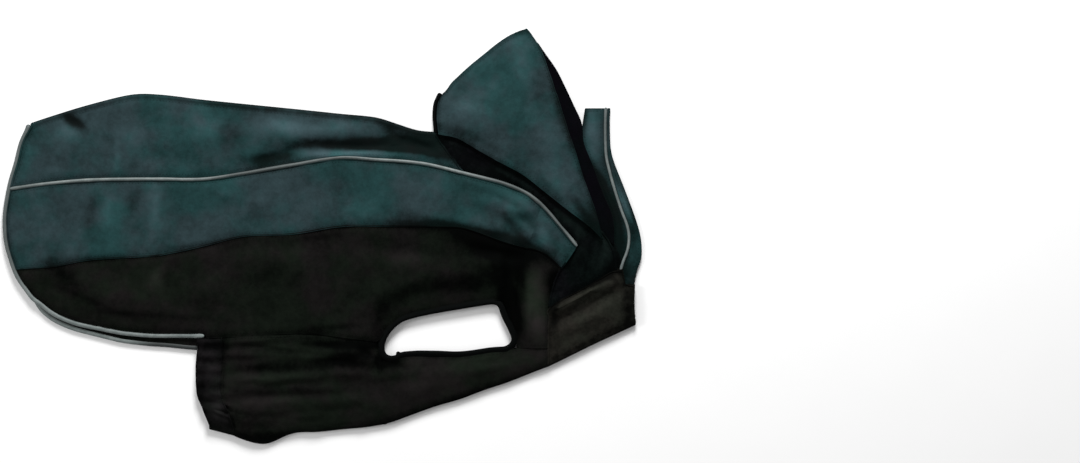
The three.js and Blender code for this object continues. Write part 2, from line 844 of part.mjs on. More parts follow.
const HOOD_START = 0.012; // where the halves start and end along the neck
const HOOD_RIGHT_END = 0.85;
const HOOD_LEFT_END = 0.9;
const overlapAt = (t) => SEAM - (NECK_OVERLAP + SEAM) * smooth((t - 0.08) * 6);
const hoodRight = hoodPlace(
  (t) => beside(neckUpper, overlapAt(t))(mix(HOOD_START, HOOD_RIGHT_END, t)),
  HOOD_FRONT_RIGHT,
);
const COLLAR_GAP = 1.05; // the hood lies beside the collar, not sewn to it there
const collarJoin = [208, 219, 231, 247, 263, 275, 285, 294, 303, 314].map((y) => ({
  x: collarRear(y) - COLLAR_GAP,
  y,
}));
const hoodLeft = hoodPlace(
  (t) => beside(neckUpper, 1.5 * SEAM)(mix(HOOD_START, HOOD_LEFT_END, t)),
  [...collarJoin, ...HOOD_FRONT_LEFT],
);

// The lining shows along the front of the hood's left half, and lies on it.
function hoodLining() {
  const level = CLOTH + SEAM + LINING;
  const columns = [0.6, 0.8, 1];
  const rows = steps(14).map((t) => mix(0.015, 0.93, t));
  const points = rows.map((v) =>
    columns.map((u) => {
      const { x, y } = hoodLeft(u, v);
      return { point: new THREE.Vector3(x, y, level), normal: new THREE.Vector3(0, 0, 1) };
    }),
  );
  return wall('hood_lining', LINING_BLACK, points, LINING);
}

// The collar's left half: the facing inside its piping and the turned edge outside it.
function collarPiece(name, rearEdge, frontEdge, low, columns) {
  const high = COLLAR[0].y;
  const place = patch({
    first: straight({ x: rearEdge(low), y: low }, { x: frontEdge(low), y: low }),
    last: straight({ x: rearEdge(high), y: high }, { x: frontEdge(high), y: high }),
    rear: alongY(rearEdge, low, high),
    front: alongY(frontEdge, low, high),
  });
  return wall(name, TEAL, floorRows(place, columns, steps(22)));
}

// Trims along the seams and edges.
const raised = ({ point, normal }, by) => ({
  point: point.clone().addScaledVector(normal, by),
  normal,
});
const FLOOR_TRIM = 3; // height of a trim between pieces of the lower layer

function trimOnTop(name, look, edge, count, width, height = CLOTH + PIPING_PROUD, closed = false) {
  const places = closed ? steps(count).slice(0, -1) : steps(count);
  const line = places.map((t) => {
    const { x, y } = edge(t);
    return raised(onTop(bodyHeight, x, y), PIPING_PROUD - height / 2);
  });
  return trim(name, look, line, width, height, { closed });
}

function trimOnFloor(name, look, edge, count, width, closed = false) {
  const places = closed ? steps(count).slice(0, -1) : steps(count);
  const line = places.map((t) => {
    const { x, y } = edge(t);
    return { point: new THREE.Vector3(x, y, FLOOR_TRIM / 2), normal: new THREE.Vector3(0, 0, 1) };
  });
  return trim(name, look, line, width, FLOOR_TRIM, { closed });
}

const pipingEdge = alongX(pipingLine, hemInset(255) + SEAM, 573.5);
const legBindingLine = beside(route(LEG_OPENING, true), LEG_BINDING_WIDTH / 2);

// The silver hem trim runs from the belly panel round the rear of the right half, over the
// back fold and round the left half.
function hemTrim() {
  const HEIGHT = CLOTH + 0.6;
  const lowCount = 14;
  const rearCount = 14;
  const [lowFrom, lowTo] = [HEM_END - 0.6, 36];
  const [rearFrom, rearTo] = [140, 312];
  const outline = (drop) =>
    route([
      ...steps(lowCount).map((t) => {
        const x = mix(lowFrom, lowTo, t);
        return { x, y: flankLow(x) - (drop ? leftDrop(x) : 0) };
      }),
      ...steps(rearCount).map((t) => {
        const y = mix(rearFrom, rearTo, t);
        return { x: hemRear(y), y };
      }),
    ]);
  const inward = -HEM_WIDTH / 2;
  const right = beside(outline(false), inward);
  const left = beside(outline(true), inward);
  const places = steps(36);
  const over = TURN_ANGLES.map((angle) => {
    const x = hemRear(316) + HEM_WIDTH / 2 - 2 * SEAM;
    return roundFold(bodyHeight, x, backFold(x), 1, angle);
  });
  const line = [
    ...places.map((t) => onTop(bodyHeight, right(t).x, right(t).y)),
    ...over,
    ...places.reverse().map((t) => onFloor(left(t).x, left(t).y)),
  ];
  return trim(
    'hem_trim',
    SILVER,
    line.map((at) => raised(at, -HEIGHT / 2 - 0.1)),
    HEM_WIDTH,
    HEIGHT,
  );
}

// The binding of the hood's rear edge, round both halves.
function hoodBinding() {
  const HEIGHT = 6.4;
  const edge = beside(hoodRear, -HOOD_BINDING_WIDTH / 2);
  const line = steps(8).map((t) => ({
    point: new THREE.Vector3(edge(t).x, edge(t).y, HEIGHT / 2 + 0.1),
    normal: new THREE.Vector3(0, 0, 1),
  }));
  return trim('hood_binding', BLACK, line, HOOD_BINDING_WIDTH, HEIGHT);
}

function collarTrim() {
  const line = steps(20).map((t) => {
    const y = mix(COLLAR[0].y, COLLAR_PIPING_END, t);
    const centre = (CLOTH + PIPING_PROUD) / 2 + 0.1;
    return {
      point: new THREE.Vector3(collarPiping(y), y, centre),
      normal: new THREE.Vector3(0, 0, 1),
    };
  });
  return trim('piping_collar', SILVER, line, PIPING_WIDTH, CLOTH + PIPING_PROUD);
}

const coat = new THREE.Group();
const onRight = (name, look, place, columns, rows) =>
  coat.add(wall(name, look, topRows(place, bodyHeight, columns, rows)));
const onLeft = (name, look, place, columns, rows) =>
  coat.add(wall(name, look, floorRows(place, columns, rows)));

coat.add(backPanel());
onRight('side_right', TEAL, sidePlace(), flankColumns, steps(7));
onLeft('side_left', TEAL, sidePlace(), flankColumns, steps(1));
onRight('flank_right', BLACK, flankPlace(false), flankColumns, steps(7));
onLeft('flank_left', BLACK, flankPlace(true), flankColumns, steps(4));
coat.add(bellyPanel());
coat.add(bellyElastic());
coat.add(chestPanel());
onRight('neck_band_right', BLACK, neckPlace, steps(22), steps(4));
onLeft('neck_band_left', BLACK, neckPlace, steps(18), steps(1));
coat.add(wall('hood_right', TEAL, topRows(hoodRight, hoodHeight, steps(14), steps(10))));
onLeft('hood_left', TEAL, hoodLeft, steps(12), steps(16));
coat.add(hoodLining());
coat.add(hoodBinding());
const collarInner = shifted(collarPiping, -HALF_PIPING);
const collarOuter = shifted(collarPiping, HALF_PIPING);
coat.add(collarPiece('collar_left', collarRear, collarInner, COLLAR_PIPING_END, steps(3)));
coat.add(collarPiece('collar_edge_left', collarOuter, collarFront, COLLAR_EDGE_END, steps(2)));
coat.add(collarTrim());
coat.add(trimOnTop('piping_right', SILVER, pipingEdge, 56, PIPING_WIDTH));
coat.add(trimOnFloor('piping_left', SILVER, pipingEdge, 44, PIPING_WIDTH));
coat.add(
  trimOnTop('leg_binding_right', BLACK, legBindingLine, 40, LEG_BINDING_WIDTH, CLOTH + 1.2, true),
);
coat.add(trimOnFloor('leg_binding_left', BLACK, legBindingLine, 40, LEG_BINDING_WIDTH, true));
coat.add(hemTrim());

const box = new THREE.Box3().setFromObject(coat);
const centre = box.getCenter(new THREE.Vector3());
coat.position.set(-centre.x, -centre.y, -box.min.z);

export default coat;
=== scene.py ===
"""Dog winter coat lying flat on its left side, seen from straight above.

Sizes in the tables are in mm, in the coat's own pattern frame: x from the rearmost point of
the hem, y up from the lowest point of the belly fold, heights above the surface.
"""

import math

import bmesh
import bpy
import numpy as np
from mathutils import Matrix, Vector


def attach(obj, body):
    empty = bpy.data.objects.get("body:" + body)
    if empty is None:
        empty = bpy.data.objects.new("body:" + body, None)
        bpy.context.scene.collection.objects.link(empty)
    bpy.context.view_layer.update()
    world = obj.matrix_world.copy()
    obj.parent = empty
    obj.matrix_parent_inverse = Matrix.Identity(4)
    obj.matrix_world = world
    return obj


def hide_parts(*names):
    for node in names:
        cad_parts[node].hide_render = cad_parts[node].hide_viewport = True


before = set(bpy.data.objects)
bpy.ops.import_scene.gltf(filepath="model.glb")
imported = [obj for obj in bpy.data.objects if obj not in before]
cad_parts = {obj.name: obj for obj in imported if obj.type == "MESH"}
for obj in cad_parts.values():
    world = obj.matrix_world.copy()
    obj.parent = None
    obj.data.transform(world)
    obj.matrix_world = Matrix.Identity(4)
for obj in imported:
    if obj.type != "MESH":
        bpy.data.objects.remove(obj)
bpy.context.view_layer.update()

MM = 0.001

# The pattern frame's origin in the row frame, in mm
ORIGIN_X = 319.835
ORIGIN_Y = 206.622


def row_x(x):
    """Metres in the row frame from mm in the pattern frame."""
    return (x - ORIGIN_X) * MM


def row_y(y):
    return (y - ORIGIN_Y) * MM


# Camera, straight above the middle of the picture
PICTURE_WIDTH_PX = 1080
PICTURE_HEIGHT_PX = 463
MM_PER_PX = 1.0
BELLY_FOLD_PX = 443  # row of the picture where the belly fold is lowest
HEM_PX = 2  # column of the picture where the hem is rearmost
LENS = 100  # mm, as the sensor
SENSOR = 36
MEAN_HEIGHT = 0.009  # m, of the coat's upper side, where the picture's scale holds
picture_width = PICTURE_WIDTH_PX * MM_PER_PX * MM
distance = picture_width * LENS / SENSOR
camera_data = bpy.data.cameras.new("camera")
camera_data.lens = LENS
camera_data.sensor_width = SENSOR
camera_data.clip_start = 0.1
camera_data.clip_end = 20
camera = bpy.data.objects.new("camera", camera_data)
camera.location = (
    row_x((PICTURE_WIDTH_PX / 2 - HEM_PX) * MM_PER_PX),
    row_y((BELLY_FOLD_PX - PICTURE_HEIGHT_PX / 2) * MM_PER_PX),
    distance + MEAN_HEIGHT,
)
bpy.context.scene.collection.objects.link(camera)
bpy.context.scene.camera = camera
bpy.context.scene.view_settings.view_transform = "Standard"


# Shader maths
class Value:
    """A shader socket that takes part in Python maths."""

    def __init__(self, look, socket):
        self.look = look
        self.socket = socket

    def __add__(self, other):
        return self.look.maths("ADD", self, other)

    def __radd__(self, other):
        return self.look.maths("ADD", other, self)

    def __sub__(self, other):
        return self.look.maths("SUBTRACT", self, other)

    def __rsub__(self, other):
        return self.look.maths("SUBTRACT", other, self)

    def __mul__(self, other):
        return self.look.maths("MULTIPLY", self, other)

    def __rmul__(self, other):
        return self.look.maths("MULTIPLY", other, self)


class Look:
    """A material built from nodes."""

    def __init__(self, name):
        self.material = bpy.data.materials.new(name)
        self.material.use_nodes = True
        self.tree = self.material.node_tree
        self.shader = self.tree.nodes["Principled BSDF"]
        place = self.node("ShaderNodeTexCoord")
        self.place = Value(self, place.outputs["Object"])
        split = self.node("ShaderNodeSeparateXYZ", Vector=self.place)
        self.x = Value(self, split.outputs["X"])
        self.y = Value(self, split.outputs["Y"])

    def plug(self, socket, value):
        """Links a value to a socket, or sets the socket to a plain number or colour."""
        if isinstance(value, Value):
            self.tree.links.new(value.socket, socket)
        elif value is not None:
            socket.default_value = value

    def node(self, kind, settings=(), **inputs):
        made = self.tree.nodes.new(kind)
        for key, value in dict(settings).items():
            setattr(made, key, value)
        for key, value in inputs.items():
            self.plug(made.inputs[key.replace("_", " ")], value)
        return made

    def maths(self, operation, *values):
        made = self.node("ShaderNodeMath", {"operation": operation})
        for socket, value in zip(made.inputs, values):
            self.plug(socket, value)
        return Value(self, made.outputs[0])

    def sine(self, value):
        return self.maths("SINE", value)

    def absolute(self, value):
        return self.maths("ABSOLUTE", value)

    def noise(self, size, detail=2.0, roughness=0.5, seed=0.0):
        """Noise from 0 to 1 with lumps of about that size in mm."""
        made = self.node(
            "ShaderNodeTexNoise",
            {"noise_dimensions": "4D"},
            Vector=self.place,
            W=seed,
            Scale=1 / (size * MM),
            Detail=detail,
            Roughness=roughness,
        )
        return Value(self, made.outputs[0])

    def attribute(self, name):
        """A number that the piece's mesh holds at each point."""
        made = self.node("ShaderNodeAttribute", {"attribute_name": name})
        return Value(self, made.outputs["Fac"])

    def step(self, value, low, high):
        """0 below low and 1 above high, smooth between."""
        made = self.node(
            "ShaderNodeMapRange",
            {"interpolation_type": "SMOOTHSTEP"},
            Value=value,
            From_Min=low,
            From_Max=high,
        )
        return Value(self, made.outputs[0])

    def blend(self, factor, first, second, kind="MIX"):
        """The first colour at factor 0 and the second at 1, or their product."""
        made = self.node("ShaderNodeMix", {"data_type": "RGBA", "blend_type": kind})
        self.plug(made.inputs[0], factor)
        self.plug(made.inputs[6], first)
        self.plug(made.inputs[7], second)
        return Value(self, made.outputs[2])

    def bump(self, height):
        """A surface raised by height in mm."""
        made = self.node("ShaderNodeBump", Strength=1.0, Distance=MM, Height=height)
        return Value(self, made.outputs[0])

    def finish(self, **inputs):
        """The material, with those sockets of its shader set or linked."""
        for key, value in inputs.items():
            self.plug(self.shader.inputs[key.replace("_", " ")], value)
        return self.material


STITCH_INSET = 2.6  # mm from the edge of a panel to its row of stitches
STITCH_PITCH = 3.2  # mm from one stitch to the next
STITCH_HALF = 0.35  # mm, half the width of the row
STITCH_HEIGHT = 0.45  # mm
STITCH_GROOVE = 0.3  # mm, depth of the groove that the stitches lie in
THREAD_HEIGHT = 0.05  # mm, of the weave and of its flecks

# Sizes in mm of what is irregular in the cloth
PATCH_SIZE = 30
MOTTLE_SIZE = 6
FLECK_SIZE = 1.6
WRINKLE_SIZE = 13
HUE_SIZE = 44

# The tone of cloth with no painted light and shade and no wear, and what each of them adds to it
MEAN_TONE = 0.24
# share of the painted light and shade: darker in hollows and shaded parts, lighter on ridges and
# lit parts
PAINTED_SHADING_SHARE = 0.88
PATCH_SHARE = 0.2
FLECK_SHARE = 0.14
WEAVE_SHARE = 0.06
STITCH_SHARE = 0.2
# painted shade in the groove that the stitches lie in
GROOVE_SHADE_SHARE = 0.12
SOFT_FLOOR = 0.3  # tone below which the darkest parts level out
TONE_SCALE = 0.5  # a tone of 2 gives the brightest colour


def woven(name, dark, brightest, sheen, roughness, wrinkle, gloss, mottle, tint, cool, warm,
          pitch=0.9):
    """Plain weave with threads pitch mm apart, from a dark colour to the brightest one, between a
    cool and a warm tint, with wrinkles of that many mm, mottled wear and a row of stitches along
    each edge. The piece's tone attribute paints shade into the hollows and light onto the ridges."""
    look = Look(name)
    turn = 2 * math.pi / (pitch * MM)
    weave = 0.5 + 0.5 * look.sine(look.x * turn) * look.sine(look.y * turn)
    patches = look.noise(PATCH_SIZE, detail=4, roughness=0.65, seed=1.3)
    mottles = look.noise(MOTTLE_SIZE, detail=3, roughness=0.7, seed=9.2)
    mottles = look.step(mottles, 0.36, 0.64)
    flecks = look.noise(FLECK_SIZE, detail=2, roughness=0.7, seed=4.1)
    creased = look.noise(WRINKLE_SIZE, detail=3, roughness=0.55, seed=7.7)
    hues = look.noise(HUE_SIZE, detail=3, roughness=0.6, seed=14.5)
    hues = look.step(hues, 0.38, 0.62)
    edge = look.attribute("edge")
    along = look.attribute("along")
    row = 1 - look.step(look.absolute(edge - STITCH_INSET), STITCH_HALF * 0.5, STITCH_HALF)
    thread = look.step(look.sine(along * (2 * math.pi / STITCH_PITCH)), -0.75, -0.45)
    wear_and_painted_shading = look.step(patches, 0.32, 0.68) * PATCH_SHARE + (mottles - 0.5) * mottle
    wear_and_painted_shading = wear_and_painted_shading + flecks * FLECK_SHARE + weave * WEAVE_SHARE
    # the stitches lighter, the groove along them darker as painted shade
    wear_and_painted_shading = wear_and_painted_shading + row * (thread * STITCH_SHARE - GROOVE_SHADE_SHARE)
    # painted light and shade from the piece's tone attribute, added to the wear
    wear_and_painted_shading = wear_and_painted_shading + MEAN_TONE + (look.attribute("painted_tone") - 0.5) * PAINTED_SHADING_SHARE
    wear_and_painted_shading = look.maths("SMOOTH_MAX", wear_and_painted_shading, 0.0, SOFT_FLOOR)
    height = creased * wrinkle + (weave + flecks) * THREAD_HEIGHT
    height = height + row * (thread * STITCH_HEIGHT - STITCH_GROOVE)
    tone = look.blend(wear_and_painted_shading * TONE_SCALE, dark, brightest)
    return look.finish(
        Base_Color=look.blend(1.0, tone, look.blend(hues, cool, warm), "MULTIPLY"),
        Roughness=roughness - patches * 0.08,
        Normal=look.bump(height),
        Sheen_Weight=sheen,
        Sheen_Roughness=0.45,
        Sheen_Tint=tint,
        Specular_IOR_Level=gloss,
    )


def colour(red, green, blue):
    return (red, green, blue, 1)


RIB_PITCH = 1.1  # mm


def binding_look():
    """Black grosgrain tape, ribbed across."""
    look = Look("black_binding")
    turn = 2 * math.pi / (RIB_PITCH * MM)
    ribs = 0.5 + 0.5 * look.sine((look.x + look.y) * turn)
    dust = look.noise(5, detail=3, roughness=0.6, seed=2.2)
    tone = ribs * 0.35 + dust * 0.65
    return look.finish(
        Base_Color=look.blend(tone, colour(0.0003, 0.0005, 0.0005), colour(0.0017, 0.0023, 0.0022)),
        Roughness=0.82,
        Normal=look.bump(ribs * 0.15 + dust * 0.1),
        Specular_IOR_Level=0.04,
    )


def silver_look():
    """Light grey reflective tape: fine beads and a little wear, darker where its tone attribute is
    low: painted shade on the piping, and the hem trim darker along its rear edge and near the
    belly.
    """
    look = Look("silver_trim")
    beads = look.noise(0.5, detail=1, roughness=0.5, seed=3.4)
    wear = look.noise(9, detail=3, roughness=0.65, seed=5.9)
    tape_tone = look.attribute("painted_tone")
    tone = (look.step(wear, 0.3, 0.75) * 0.7 + beads * 0.3) * tape_tone
    return look.finish(
        Base_Color=look.blend(
            tape_tone,
            colour(0.012, 0.015, 0.015),
            look.blend(tone, colour(0.085, 0.105, 0.103), colour(0.2, 0.228, 0.222)),
        ),
        Roughness=0.5 + wear * 0.2,
        Metallic=0.1,
        Normal=look.bump(beads * 0.12 + wear * 0.08),
        Specular_IOR_Level=0.4,
    )


# Tints of the cloth: the colour is multiplied by one or the other, patch by patch
TEAL_TINTS = {"cool": colour(0.8, 1.02, 0.99), "warm": colour(1.35, 0.97, 1.03)}
BLACK_TINTS = {"cool": colour(0.85, 1.05, 0.85), "warm": colour(1.25, 0.96, 1.12)}
NECK_TINTS = {"cool": colour(0.72, 1.06, 0.9), "warm": colour(1.25, 0.92, 1.12)}
LOOKS = {
    "teal_cloth": woven(
        "teal_cloth", colour(0.0022, 0.0046, 0.0042), colour(0.054, 0.134, 0.143),
        sheen=0.012, roughness=0.72, wrinkle=0.9, gloss=0.02, mottle=0.1,
        tint=colour(0.5, 0.8, 0.85), **TEAL_TINTS,
    ),
    "black_cloth": woven(
        "black_cloth", colour(0.0003, 0.0005, 0.0004), colour(0.0205, 0.0235, 0.0197),
        sheen=0.006, roughness=0.75, wrinkle=0.9, gloss=0.015, mottle=0.14,
        tint=colour(0.6, 0.65, 0.6), **BLACK_TINTS,
    ),
    # The black cloth of the neck band, with a bluish tint and darker than black_cloth: painted
    # shade from the hood over it
    "neck_cloth": woven(
        "neck_cloth", colour(0.0004, 0.0008, 0.0009), colour(0.0132, 0.0168, 0.0172),
        sheen=0.01, roughness=0.8, wrinkle=1.0, gloss=0.02, mottle=0.24,
        tint=colour(0.55, 0.62, 0.68), **NECK_TINTS,
    ),
    "elastic_casing": woven(
        "elastic_casing", colour(0.0007, 0.001, 0.0009), colour(0.0185, 0.0205, 0.0195),
        sheen=0.008, roughness=0.75, wrinkle=1.0, gloss=0.02, mottle=0.18,
        tint=colour(0.6, 0.62, 0.62), **BLACK_TINTS,
    ),
    "chest_cloth": woven(
        "chest_cloth", colour(0.0012, 0.0012, 0.0009), colour(0.034, 0.0338, 0.028),
        sheen=0.012, roughness=0.8, wrinkle=2.0, gloss=0.03, mottle=0.3,
        tint=colour(0.66, 0.62, 0.56), cool=colour(0.95, 1.03, 0.95), warm=colour(1.08, 0.98, 0.98),
    ),
    "lining_cloth": woven(
        "lining_cloth", colour(0.0003, 0.0006, 0.0008), colour(0.0034, 0.0034, 0.0056),
        pitch=1.4, sheen=0.01, roughness=0.9, wrinkle=1.0, gloss=0.03, mottle=0.2,
        tint=colour(0.5, 0.4, 0.55), cool=colour(0.7, 1.1, 0.95), warm=colour(1.4, 0.8, 1.2),
    ),
    "silver_trim": silver_look(),
    "black_binding": binding_look(),
}

# Creases, given one by one: ridges (rise above 0) and troughs along a line, with the reach of
# their steep and soft sides and their rise in mm.
CREASE_COLUMNS = ("from_x", "from_y", "to_x", "to_y", "steep", "soft", "rise")
BACK_CREASES = [
    (60, 327, 80, 318, 4, 6, -1.8),
    (58, 317, 76, 305, 5, 8, 1.1),
    (115, 291, 117, 268, 3, 4, 0.9),
    (103, 306, 112, 300, 4, 5, -0.8),
    (128, 319, 134, 292, 8, 10, 0.9),
    (146, 286, 160, 273, 5, 8, 0.7),
    (192, 320, 214, 305, 9, 14, 0.8),
    (216, 321, 240, 302, 8, 12, -1.0),
    (262, 322, 296, 309, 7, 10, 1.1),
    (242, 281, 306, 299, 5, 10, -2.6),
    (298, 299, 386, 299, 5, 10, -2.6),
    (280, 313, 372, 318, 8, 9, 1.6),
    (300, 290, 392, 288, 3, 5, 1.8),
    (380, 317, 412, 298, 5, 7, -2.2),
    (404, 303, 436, 292, 4, 9, -1.8),
    (396, 291, 430, 287, 3, 4, 1.2),
    (14, 300, 40, 286, 6, 9, 0.7),
    (28, 276, 92, 272, 5, 8, 0.5),
]
SIDE_CREASES = [
    (110, 252, 104, 206, 5, 8, 1.2),
    (92, 250, 86, 204, 5, 8, -0.9),
    (134, 254, 130, 226, 5, 7, -0.9),
    (152, 254, 154, 206, 5, 8, 1.2),
    (176, 252, 180, 214, 7, 10, -0.6),
    (204, 250, 236, 240, 4, 8, -0.8),
    (48, 246, 40, 190, 9, 14, 0.7),
    (270, 268, 284, 222, 14, 20, 0.6),
    (320, 272, 346, 228, 14, 22, -0.5),
    (380, 270, 420, 236, 12, 18, 0.6),
    (472, 236, 522, 214, 5, 8, -1.2),
    (483, 248, 520, 226, 4, 7, 1.3),
    (500, 236, 528, 222, 4, 5, -1.1),
    (508, 226, 536, 204, 4, 6, 1.2),
    (536, 222, 548, 196, 4, 6, 1.1),
    (530, 214, 542, 190, 3, 5, -1.0),
    (455, 262, 520, 238, 4, 6, -0.8),
]
FLANK_CREASES = [
    (150, 180, 162, 138, 5, 9, 1.2),
    (162, 178, 178, 140, 5, 8, -0.9),
    (60, 160, 120, 150, 8, 12, -0.6),
    (220, 190, 330, 176, 9, 14, 0.7),
    (300, 160, 372, 140, 9, 13, -0.8),
    (340, 196, 452, 190, 6, 9, -0.8),
    (380, 150, 440, 176, 8, 12, 0.8),
    (456, 202, 530, 184, 5, 8, -2.6),
    (470, 186, 512, 174, 4, 7, 1.2),
    (506, 184, 513, 112, 4, 7, -2.9),
    (522, 178, 527, 106, 4, 6, 2.2),
    (538, 176, 541, 108, 3, 5, -1.6),
    (498, 176, 502, 150, 4, 5, 1.1),
]
BELLY_CREASES = [
    (300, 115, 358, 114, 3, 6, -1.8),
    (228, 96, 308, 93, 3, 6, -2.0),
    (308, 81, 360, 79, 3, 5, -2.9),
    (228, 104, 300, 106, 4, 7, 1.0),
    (240, 84, 330, 88, 4, 6, 1.2),
    (240, 75, 288, 71, 3, 6, -0.8),
    (232, 62, 352, 66, 4, 7, 1.1),
    (238, 52, 320, 55, 4, 6, -0.9),
    (232, 41, 308, 40, 4, 7, 1.3),
    (236, 30, 300, 30, 3, 5, -1.0),
    (240, 18, 330, 20, 4, 7, 0.9),
    (356, 98, 380, 78, 3, 5, -1.6),
    (366, 90, 378, 66, 3, 4, 1.2),
    (384, 80, 414, 72, 3, 4, -1.1),
    (386, 86, 418, 84, 3, 4, 1.0),
    (330, 60, 430, 70, 5, 8, -0.7),
    (420, 74, 540, 92, 4, 6, 0.8),
    (400, 50, 520, 72, 5, 8, -0.6),
]
CASING_CREASES = [
    (197, 98, 221, 100, 2.5, 4, -1.1),
    (197, 89, 214, 93, 3, 4, 0.8),
    (204, 82, 221, 78, 2, 3.5, -0.8),
    (197, 71, 218, 68, 3, 5, 0.9),
    (198, 61, 210, 62, 2, 3.5, -0.7),
    (203, 53, 224, 46, 3, 4, 0.9),
    (202, 40, 226, 38, 2, 4, -1.2),
    (208, 31, 222, 27, 3, 4, 0.9),
]
CHEST_CREASES = [
    (552, 130, 606, 159, 2.5, 4, 1.5),
    (550, 121, 610, 150, 3, 4, -1.6),
    (560, 110, 624, 130, 5, 8, 0.7),
    (572, 140, 596, 152, 2, 3, -1.0),
]
NECK_CREASES = [
    (454, 292, 520, 258, 3, 5, -1.1),
    (470, 286, 540, 244, 3, 4, 0.9),
    (560, 214, 552, 168, 3, 5, 1.3),
    (572, 208, 566, 164, 3, 4, -1.5),
    (586, 202, 580, 160, 3, 5, 1.2),
    (598, 196, 594, 168, 2.5, 4, -1.2),
]
HOOD_CREASES = [
    (446, 332, 500, 322, 10, 14, 0.9),
    (470, 360, 520, 340, 12, 16, -0.8),
    (512, 396, 530, 350, 7, 10, 0.9),
    (530, 384, 552, 318, 5, 9, -0.9),
    (566, 250, 590, 212, 4, 6, -1.2),
    (576, 252, 597, 216, 3, 5, 1.0),
    (548, 258, 580, 224, 5, 7, 0.9),
    (440, 318, 470, 300, 5, 8, -0.9),
]
COLLAR_CREASES = [
    (588, 330, 590, 300, 4, 6, 0.4),
    (598, 300, 606, 240, 3, 5, -0.5),
    (592, 270, 602, 232, 3, 4, 0.4),
]
BODY_CREASES = BACK_CREASES + SIDE_CREASES + FLANK_CREASES + BELLY_CREASES
BODY_CREASES += CASING_CREASES + CHEST_CREASES


# Painted light and shade on the cloth, lighter on the ridges and where light falls, darker in the
# hollows and where shade falls: middle, reach along and across a direction in degrees, and change
# of tone.
TONE_PATCH_COLUMNS = ("x", "y", "reach", "width", "turn", "change")
BODY_PAINTED_SHADING = [
    (406, 296, 30, 8, -3, -1.1),
    (434, 296, 22, 11, -20, -1.1),
    (372, 299, 36, 7, -2, -0.6),
    (396, 316, 34, 7, -10, -0.35),
    (330, 301, 66, 6.5, 0, -0.36),
    (262, 285, 32, 8, 12, -0.25),
    (300, 316, 50, 8, -3, 0.12),
    (352, 289.5, 56, 4, -2, 0.9),
    (420, 283, 20, 4, -6, 0.5),
    (346, 330, 90, 5, -5, -0.25),
    (250, 334, 60, 5, -7, -0.2),
    (72, 322, 14, 5, -34, -0.6),
    (66, 308, 12, 7, -30, 0.2),
    (34, 306, 14, 20, -60, -0.12),
    (130, 305, 14, 9, 80, 0.14),
    (115, 296, 3.5, 11, 0, 0.22),
    (207, 318, 14, 10, 0, 0.14),
    (280, 318, 18, 8, 0, 0.24),
    (170, 292, 26, 8, 0, -0.1),
    (91, 230, 26, 8, 85, -0.14),
    (110, 232, 28, 8, 85, 0.13),
    (134, 236, 20, 7, 85, -0.13),
    (153, 232, 26, 7, 85, 0.13),
    (246, 236, 26, 9, 5, -0.12),
    (350, 238, 30, 18, 0, 0.06),
    (500, 240, 26, 6, -28, 0.1),
    (522, 240, 20, 4, -38, 0.18),
    (502, 230, 18, 4, -50, -0.12),
    (514, 214, 22, 6, -55, -0.28),
    (530, 220, 16, 9, -40, -0.2),
    (540, 206, 16, 6, 62, 0.3),
    (455, 216, 50, 5, -14, -0.35),
    (490, 203, 50, 9, -14, -0.85),
    (520, 194, 26, 8, -20, -0.8),
    (413, 219, 34, 5, -4, -0.45),
    (300, 205, 60, 4, 4, -0.25),
    (180, 196, 50, 4, 6, -0.2),
    (84, 184, 40, 4, 2, -0.2),
    (510, 180, 36, 12, -14, -0.6),
    (476, 176, 30, 12, -12, -0.25),
    (512, 128, 26, 9, 108, -0.9),
    (505, 152, 20, 8, 110, -0.7),
    (534, 150, 28, 7.5, 92, 1.5),
    (538, 118, 14, 8, 90, 0.5),
    (520, 162, 16, 6, 100, -0.45),
    (398, 184, 30, 8, 0, 0.3),
    (440, 157, 32, 9, 6, -0.4),
    (398, 148, 30, 8, 32, -0.35),
    (480, 160, 24, 9, 6, -0.35),
    (378, 124, 22, 8, 74, -0.4),
    (110, 155, 34, 12, -5, 0.35),
    (156, 168, 16, 6, 60, 0.45),
    (206, 160, 18, 10, 0, 0.2),
    (200, 142, 14, 10, 0, -0.2),
    (270, 168, 40, 12, 4, -0.16),
    (60, 170, 26, 9, -40, -0.4),
    (80, 146, 40, 4, -22, -0.3),
    (150, 128, 60, 4, -4, -0.3),
    (298, 76, 56, 7, 0, -0.32),
    (262, 108, 50, 5, -2, -0.2),
    (340, 98, 36, 4, -1, -0.9),
    (352, 87, 24, 5, -4, -0.5),
    (268, 96, 50, 5, -1, 0.25),
    (268, 64, 40, 6, 2, 0.3),
    (280, 52, 36, 6, 0, -0.18),
    (268, 38, 40, 6, 0, 0.35),
    (258, 24, 30, 6, 0, -0.15),
    (270, 6, 44, 6, 0, -0.5),
    (386, 82, 16, 6, 24, -0.7),
    (412, 78, 10, 6, 20, 0.35),
    (400, 98, 26, 4, 4, -0.4),
    (448, 66, 76, 12, 12, 0.34),
    (530, 84, 30, 10, 14, 0.3),
    (470, 46, 100, 5, 17, -0.4),
    (586, 100, 60, 4, 25, -0.3),
    (552, 138, 34, 4, 90, -0.75),
    (556, 160, 9, 9, 0, -0.8),
    (592, 159, 36, 4, 28, -0.7),
    (578, 147, 26, 4, 28, 0.5),
    (568, 133, 20, 4, 30, -0.4),
    (600, 136, 30, 12, 24, 0.3),
    (570, 108, 16, 9, 60, 0.25),
    (626, 136, 24, 4.5, 92, -0.7),
    (211, 24, 9, 7, 0, -0.5),
    (214, 98, 10, 6, 0, -0.5),
    (216, 74, 12, 5, 10, 0.4),
    (206, 52, 12, 5, -10, -0.35),
    (219, 44, 20, 6, 75, 0.5),
    (200, 60, 30, 4, 85, -0.4),
    (222, 66, 40, 3, 88, -0.3),
]
